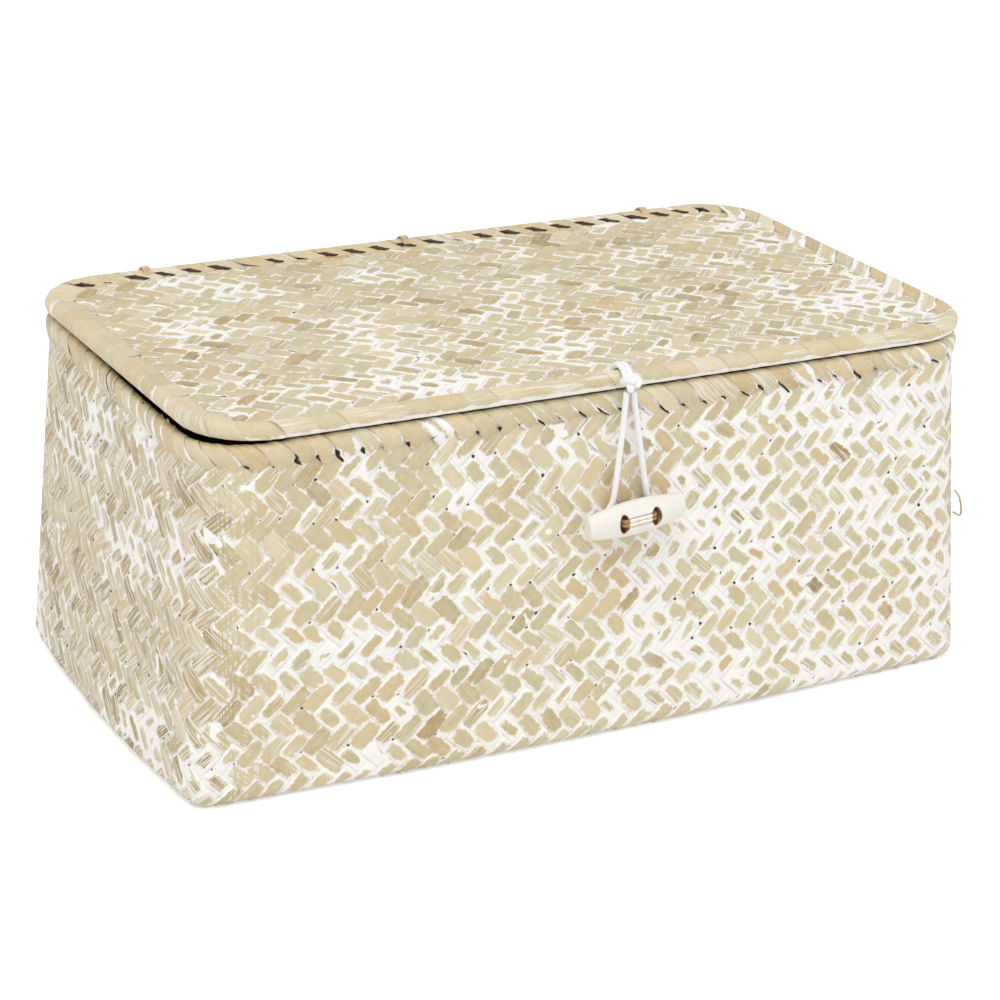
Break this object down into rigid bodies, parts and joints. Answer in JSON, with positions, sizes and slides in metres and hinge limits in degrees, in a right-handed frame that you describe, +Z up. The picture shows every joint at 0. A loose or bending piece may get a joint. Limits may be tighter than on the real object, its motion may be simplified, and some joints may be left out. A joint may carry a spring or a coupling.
{
  "type": "woven lidded box",
  "caption": "Rectangular twill-woven leaf box with a lashed-on lid, rolled edges and an elastic loop that hooks behind a toggle on the front.",
  "frame": {"origin": "middle of the flat underside, on the surface that the box stands on", "axes": "+X along the box's length, -Y towards the front with the toggle, +Z up"},
  "size_m": [0.3578, 0.2129, 0.1566],
  "materials": {
    "woven_leaf": "white-washed dry leaf strips, matte with a faint sheen along the leaf",
    "lining_leaf": "plain dry leaf strips, matte",
    "binding_leaf": "smooth folded leaf, satin",
    "frame_wire": "plain drawn wire",
    "twine": "twisted natural thread",
    "elastic_cord": "braided white elastic, matte",
    "toggle_resin": "ivory, satin"
  },
  "bodies": {
    "basket": {"outer_basket": "woven_leaf", "inner_lining": "lining_leaf", "rim_wire": "frame_wire", "rim_binding_right": "binding_leaf", "rim_binding_back": "binding_leaf", "rim_binding_left": "binding_leaf", "rim_binding_front": "binding_leaf", "hinge_lashing_1": "twine", "hinge_lashing_2": "twine", "hinge_lashing_3": "twine"},
    "lid": {"lid_top_mat": "woven_leaf", "lid_bottom_mat": "lining_leaf", "lid_wire": "frame_wire", "lid_binding": "binding_leaf", "loop_knot": "elastic_cord", "loop_tails": "elastic_cord", "stopper_knot": "elastic_cord"},
    "loop": {"closure_loop": "elastic_cord"},
    "toggle": {"toggle": "toggle_resin", "toggle_thread": "twine"}
  },
  "joints": [
    {"name": "lid_hinge", "type": "hinge", "parent": "basket", "child": "lid", "pos_m": [0, 0.095, 0.15], "axis": [-1, 0, 0], "range_deg": [0, 190]},
    {"name": "loop_swing", "type": "hinge", "parent": "lid", "child": "loop", "pos_m": [0.0014, -0.1023, 0.1506], "axis": [-1, 0, 0], "range_deg": [0, 160], "deforming": ["closure_loop"]},
    {"name": "toggle_turn", "type": "hinge", "parent": "basket", "child": "toggle", "pos_m": [0.0037, -0.1065, 0.0971], "axis": [0, -1, 0], "range_deg": [-90, 90], "deforming": ["toggle_thread"]}
  ]
}
